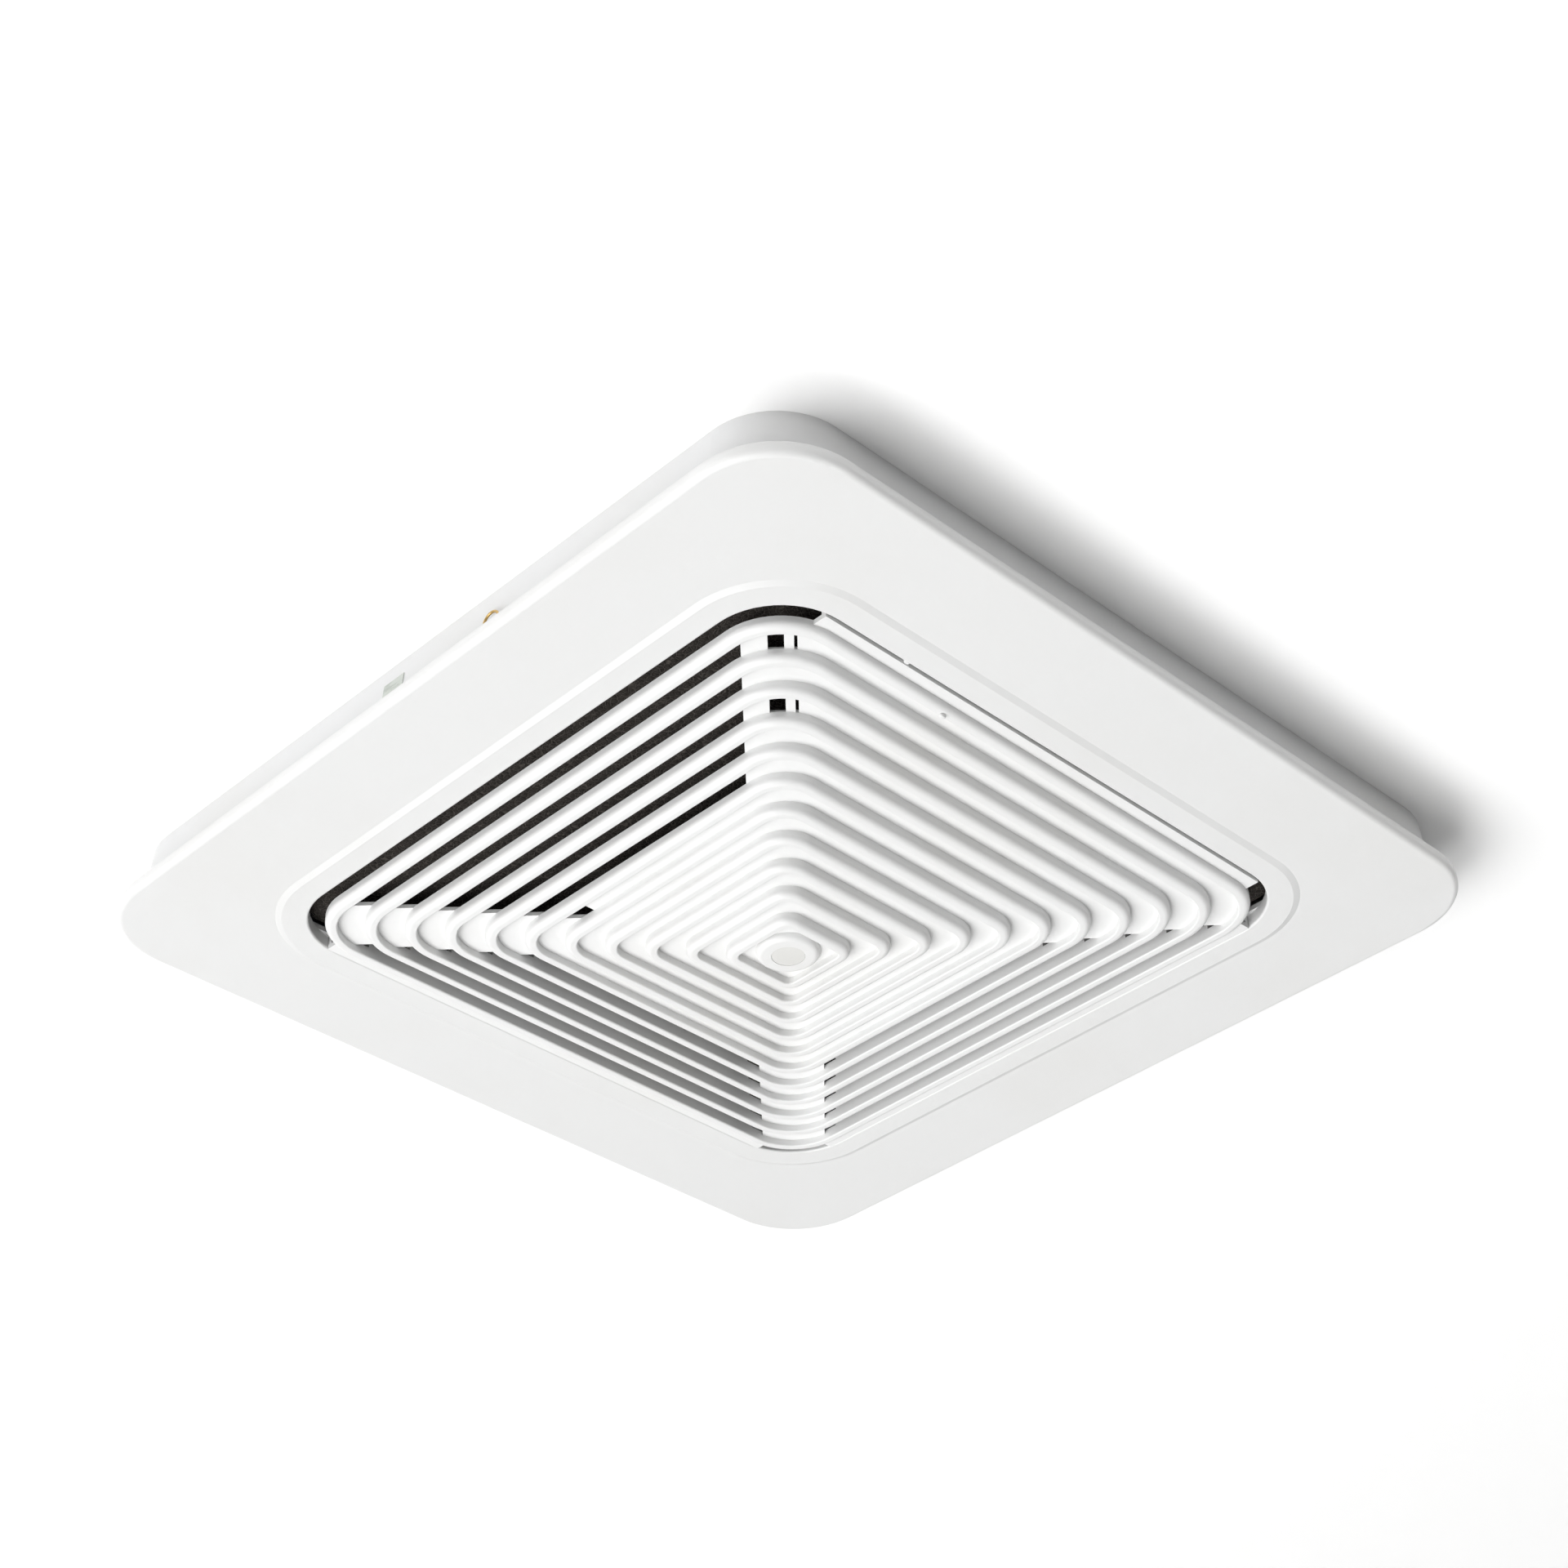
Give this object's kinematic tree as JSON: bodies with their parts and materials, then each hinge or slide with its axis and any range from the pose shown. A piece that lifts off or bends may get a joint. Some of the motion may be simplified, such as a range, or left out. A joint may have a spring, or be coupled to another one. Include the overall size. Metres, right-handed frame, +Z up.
{
  "type": "bathroom extractor fan",
  "caption": "Square louvred ceiling grille on a white frame, with a housed blower, motor, wiring box and round duct outlet with a back-draught flap above the ceiling.",
  "frame": {"origin": "on the ceiling plane, at the centre of the four fixing holes", "axes": "+Z up out of the room, into the ceiling; +X towards the duct outlet; -Y towards the mains cable entry"},
  "size_m": [0.35, 0.3, 0.1744],
  "materials": {
    "panel_white": "smooth, satin gloss",
    "grille_white": "smooth, satin gloss",
    "cap_white": "matt",
    "frame_white": "matt",
    "foam_dark": "open-cell foam",
    "retainer_black": "matt",
    "spring_steel": "drawn wire",
    "zinc_screw": "bright zinc",
    "brass_wire": "drawn wire",
    "sticker": "paper film",
    "galvanised": "zinc spangle",
    "rivet_steel": "bright",
    "scroll_plastic": "moulded",
    "impeller_plastic": "moulded",
    "shaft_steel": "ground",
    "laminations": "stacked laminations",
    "copper_coil": "enamelled copper, taped",
    "motor_shell": "zinc plated",
    "bearing_steel": "polished",
    "grommet_rubber": "soft",
    "capacitor_white": "smooth",
    "box_plastic": "moulded",
    "terminal_plastic": "moulded",
    "gland_plastic": "moulded",
    "lead_grey": "smooth sheath",
    "plug_plastic": "moulded",
    "collar_plastic": "moulded",
    "flap_plastic": "moulded",
    "plate_label": "foil"
  },
  "bodies": {
    "housing": {"ceiling_frame": "frame_white", "side_label": "sticker", "release_hook": "brass_wire", "housing_box": "galvanised", "wire_brackets": "galvanised", "housing_rivets": "rivet_steel", "plate_brackets": "galvanised", "plate_screws": "zinc_screw", "inlet_plate": "galvanised", "scroll": "scroll_plastic", "scroll_screws": "zinc_screw", "stator_core": "laminations", "stator_coils": "copper_coil", "motor_lower_bell": "motor_shell", "motor_upper_bell": "motor_shell", "bearing_lower": "bearing_steel", "bearing_upper": "bearing_steel", "motor_plate": "galvanised", "motor_grommets": "grommet_rubber", "motor_screws": "zinc_screw", "capacitor": "capacitor_white", "capacitor_strap": "galvanised", "wiring_box": "box_plastic", "terminal_block": "terminal_plastic", "wiring_cover": "galvanised", "cover_screws": "zinc_screw", "cable_gland": "gland_plastic", "gland_nut": "gland_plastic", "gland_locknut": "gland_plastic", "earth_screw": "zinc_screw", "motor_lead": "lead_grey", "blanking_plug": "plug_plastic", "rating_label": "plate_label", "duct_collar": "collar_plastic", "collar_screws": "zinc_screw"},
    "panel": {"bezel": "panel_white", "louvre_grille": "grille_white", "centre_cap": "cap_white", "centre_screw": "zinc_screw", "foam_filter": "foam_dark", "filter_retainer": "retainer_black", "grille_clips": "spring_steel", "clip_screws": "zinc_screw", "hanger_wire_front": "spring_steel", "hanger_wire_back": "spring_steel"},
    "wheel": {"impeller": "impeller_plastic", "motor_shaft": "shaft_steel", "shaft_nut": "zinc_screw", "rotor_core": "laminations"},
    "damper": {"damper_flap": "flap_plastic", "damper_pin": "shaft_steel"}
  },
  "joints": [
    {"name": "impeller_spin", "type": "hinge", "parent": "housing", "child": "wheel", "pos_m": [0, 0, 0.1], "axis": [0, 0, 1], "continuous": true},
    {"name": "damper_swing", "type": "hinge", "parent": "housing", "child": "damper", "pos_m": [0.165, 0.057, 0.064], "axis": [0, -1, 0], "range_deg": [0, 70]},
    {"name": "panel_drop", "type": "slide", "parent": "housing", "child": "panel", "axis": [0, 0, -1], "range_m": [0, 0.05], "stiffness_N_per_m": 60, "springref_m": -0.2}
  ]
}
